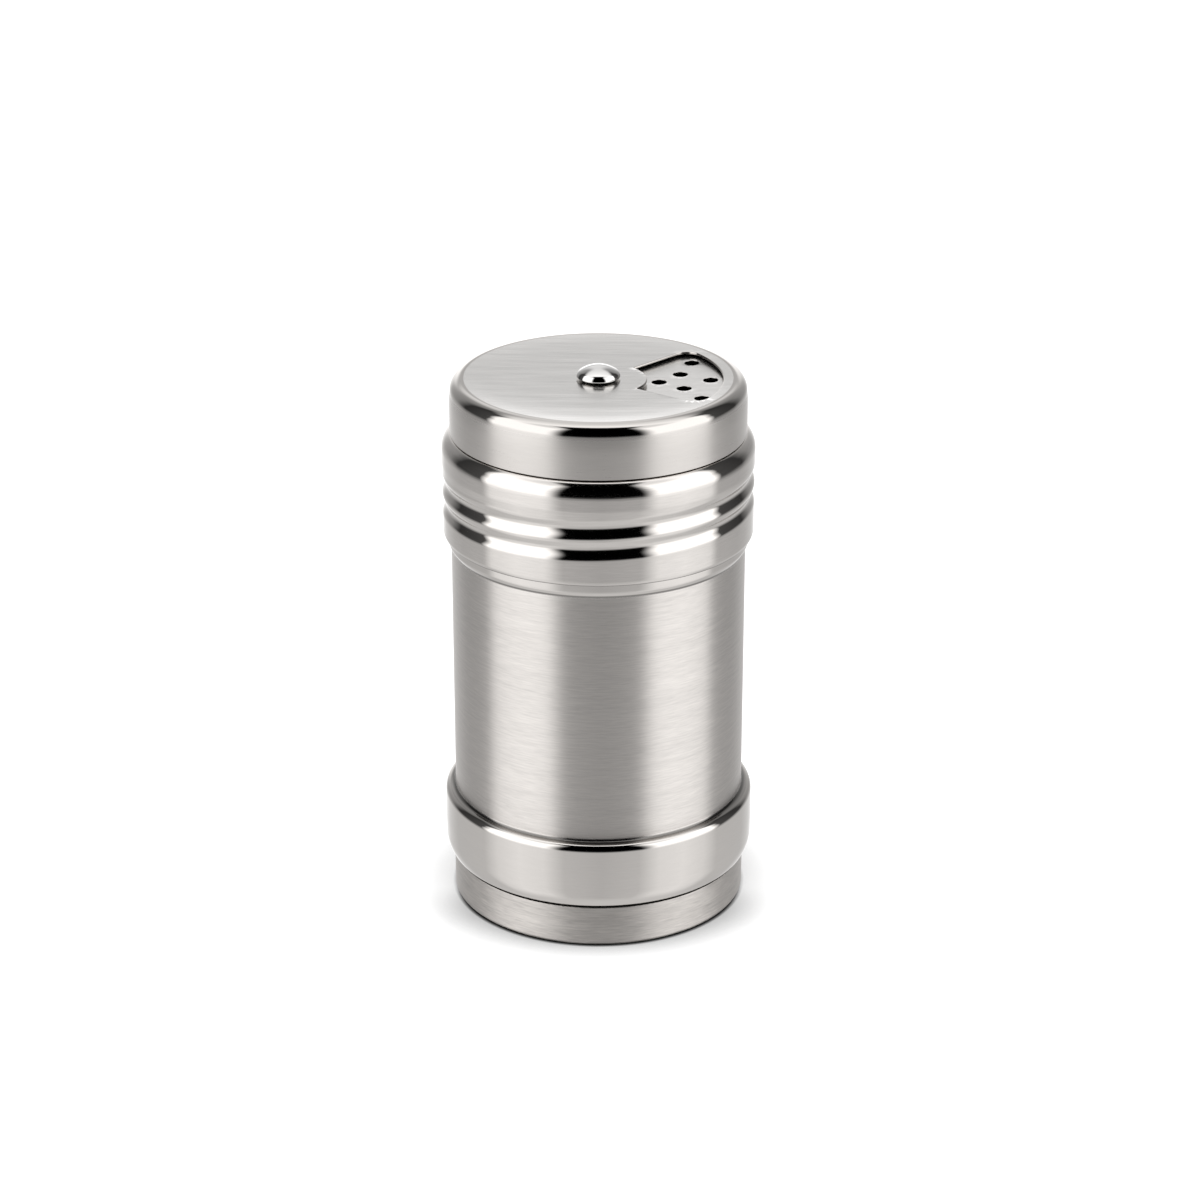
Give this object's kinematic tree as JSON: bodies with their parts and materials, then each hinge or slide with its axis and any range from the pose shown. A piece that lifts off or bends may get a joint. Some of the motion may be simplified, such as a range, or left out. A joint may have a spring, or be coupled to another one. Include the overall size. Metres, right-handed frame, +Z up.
{
  "type": "spice container",
  "caption": "Stainless steel spice jar with a screw-on sifter lid and a rotating dial cover whose sector window opens or closes the sifter holes.",
  "frame": {"origin": "centre of the foot ring, on the plane the container stands on", "axes": "+Z up along the container's axis, -Y towards the viewer of the picture, +X to the viewer's right, where the sifter window lies at rest"},
  "size_m": [0.0526, 0.0526, 0.0943],
  "materials": {
    "jar_steel": "wall brushed around the axis, rolled bulge and bead polished",
    "base_steel": "brushed around the axis",
    "lid_steel": "polished outside, satin perforated plate",
    "cover_steel": "fine brushed top and skirt, polished corner",
    "rivet_steel": "mirror polished",
    "washer_steel": "plain tumbled",
    "spring_steel": "plain spring steel",
    "gasket_silicone": "matt translucent white silicone"
  },
  "bodies": {
    "jar": {"jar_body": "jar_steel", "base_cup": "base_steel"},
    "seal": {"lid_gasket": "gasket_silicone"},
    "lid": {"screw_lid": "lid_steel", "pivot_rivet": "rivet_steel", "spacer_washer": "washer_steel", "spring_washer": "spring_steel", "tail_washer": "washer_steel"},
    "dial": {"dial_cover": "cover_steel"}
  },
  "joints": [
    {"name": "lid_rise", "type": "slide", "parent": "jar", "child": "seal", "axis": [0, 0, 1], "range_m": [0, 0.0061]},
    {"name": "lid_turn", "type": "hinge", "parent": "seal", "child": "lid", "pos_m": [0, 0, 0.0745], "axis": [0, 0, 1], "range_deg": [0, 600]},
    {"name": "dial_turn", "type": "hinge", "parent": "lid", "child": "dial", "pos_m": [0, 0, 0.0917], "axis": [0, 0, 1], "continuous": true}
  ],
  "couplings": [
    {"joint": "lid_rise", "follows": "lid_turn", "m_per_rad": 0.00057296}
  ]
}
